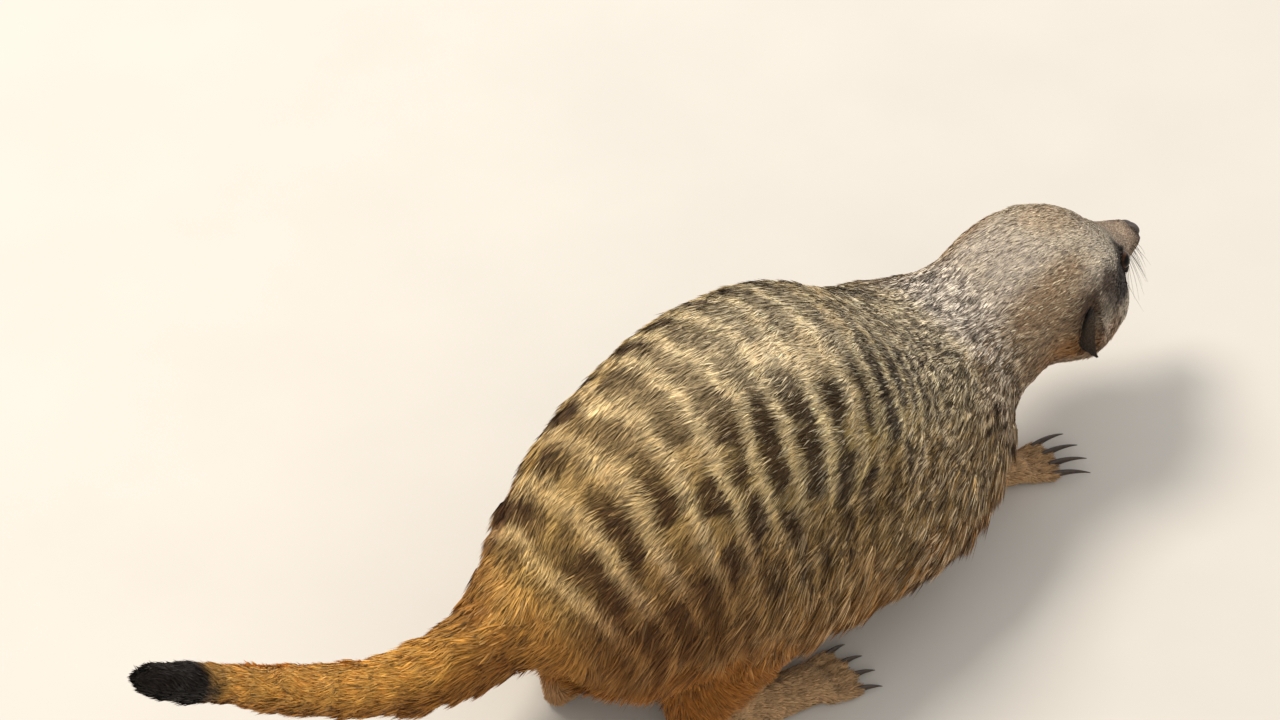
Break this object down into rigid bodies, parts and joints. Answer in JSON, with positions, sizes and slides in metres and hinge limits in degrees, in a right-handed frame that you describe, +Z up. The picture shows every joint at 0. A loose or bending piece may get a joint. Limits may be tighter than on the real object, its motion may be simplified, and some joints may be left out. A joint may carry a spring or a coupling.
{
  "type": "meerkat",
  "caption": "Life-size still model of a meerkat on all fours with an arched back, banded fur and a raised tail, standing by itself.",
  "frame": {"origin": "on the floor, under the middle of the bounding box", "axes": "+X the way the animal faces, +Y its left side, +Z up"},
  "size_m": [0.4662, 0.1252, 0.14],
  "materials": {
    "coat_back": "shaggy fur, straw with dark brown cross bands",
    "coat_grey": "short silvery grey fur, ticked with brown",
    "coat_tan": "golden tan fur",
    "coat_dark": "black brown fur",
    "skin_foot": "short pale tan fur over the foot",
    "ear_skin": "thin black skin with short hair",
    "eyeball": "wet, dark brown",
    "nose_pad": "moist, finely grained",
    "claw_horn": "satin horn"
  },
  "bodies": {
    "root": {"head": "coat_grey", "neck": "coat_grey", "shoulders": "coat_back", "loins": "coat_back", "rump": "coat_back", "tail_root": "coat_tan", "tail_middle": "coat_tan", "tail_end": "coat_tan", "tail_tip": "coat_dark", "ear_left": "ear_skin", "ear_right": "ear_skin", "eye_left": "eyeball", "eye_right": "eyeball", "nose": "nose_pad", "thigh_hind_right": "coat_back", "shank_hind_right": "coat_tan", "foot_hind_right": "skin_foot", "claw_hind_right_1": "claw_horn", "claw_hind_right_2": "claw_horn", "claw_hind_right_3": "claw_horn", "claw_hind_right_4": "claw_horn", "thigh_hind_left": "coat_back", "shank_hind_left": "coat_tan", "foot_hind_left": "skin_foot", "claw_hind_left_1": "claw_horn", "claw_hind_left_2": "claw_horn", "claw_hind_left_3": "claw_horn", "claw_hind_left_4": "claw_horn", "upper_arm_fore_right": "coat_tan", "forearm_fore_right": "coat_tan", "foot_fore_right": "skin_foot", "claw_fore_right_1": "claw_horn", "claw_fore_right_2": "claw_horn", "claw_fore_right_3": "claw_horn", "claw_fore_right_4": "claw_horn", "upper_arm_fore_left": "coat_tan", "forearm_fore_left": "coat_tan", "foot_fore_left": "skin_foot", "claw_fore_left_1": "claw_horn", "claw_fore_left_2": "claw_horn", "claw_fore_left_3": "claw_horn", "claw_fore_left_4": "claw_horn"}
  },
  "joints": []
}
